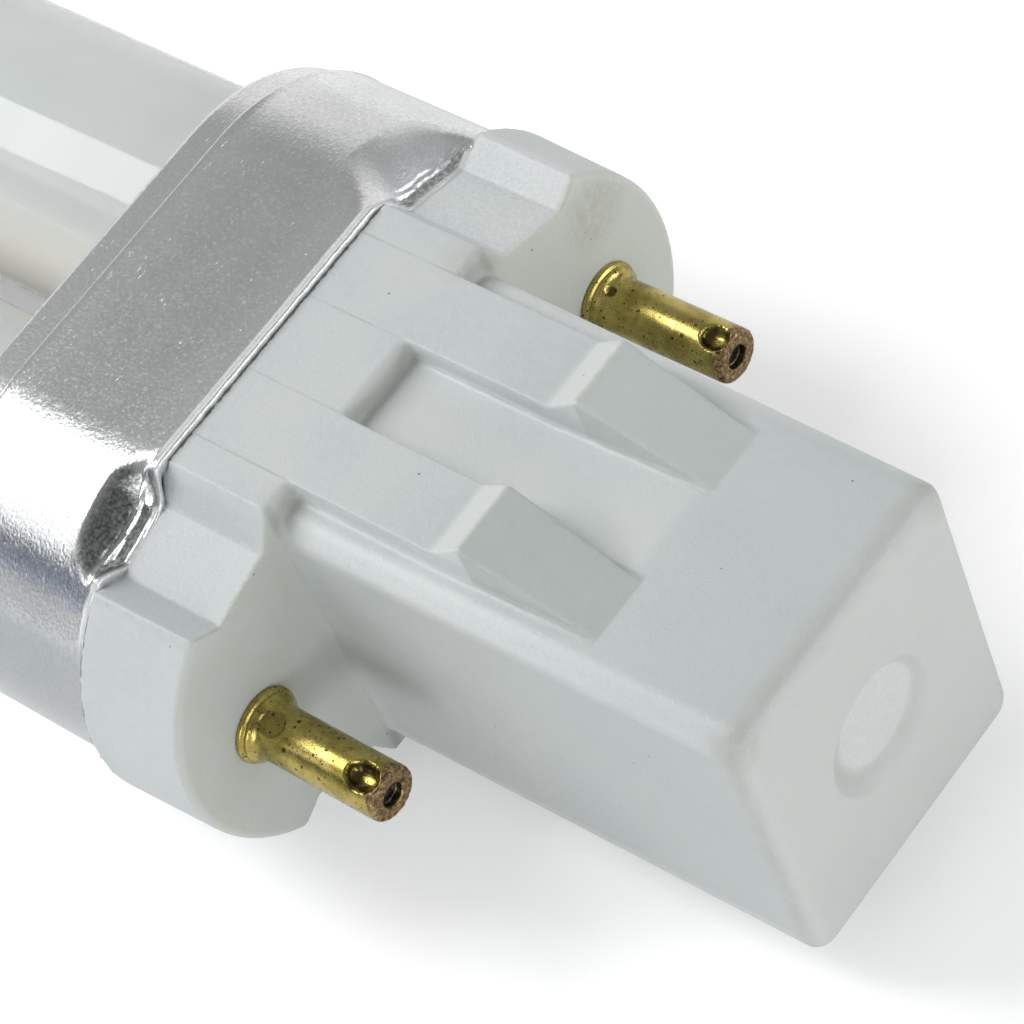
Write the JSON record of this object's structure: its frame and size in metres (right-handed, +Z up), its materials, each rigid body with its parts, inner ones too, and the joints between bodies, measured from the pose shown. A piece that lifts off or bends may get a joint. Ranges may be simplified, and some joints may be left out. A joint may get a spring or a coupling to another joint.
{
  "type": "two-pin twin-tube fluorescent lamp",
  "caption": "Bent white fluorescent tube in a crimped aluminium shell, on a white plastic cap with hollow brass pins, a square boss and snap lugs.",
  "frame": {"origin": "on the lamp's axis, in the plane of the pin face", "axes": "+X along the lamp, out of its cap; +Y across the two pins; +Z up, out of the wide side it doesn't lie on"},
  "size_m": [0.1659, 0.032, 0.02],
  "materials": {
    "phosphor_glass": "glossy glass over white phosphor",
    "aluminium_sheet": "satin drawn sheet",
    "white_plastic": "satin moulded",
    "brass": "drawn, slightly tarnished",
    "cement": "rough",
    "starter_glass": "clear",
    "capacitor_resin": "dipped",
    "lead_wire": "drawn wire"
  },
  "bodies": {
    "root": {"glass_tube": "phosphor_glass", "aluminium_shell": "aluminium_sheet", "plastic_cap": "white_plastic", "contact_pin_left": "brass", "contact_pin_right": "brass", "basing_cement": "cement", "glow_starter": "starter_glass", "capacitor": "capacitor_resin", "pin_lead_left": "lead_wire", "pin_lead_right": "lead_wire", "starter_lead_left": "lead_wire", "starter_lead_right": "lead_wire", "capacitor_lead_left": "lead_wire", "capacitor_lead_right": "lead_wire"}
  },
  "joints": []
}
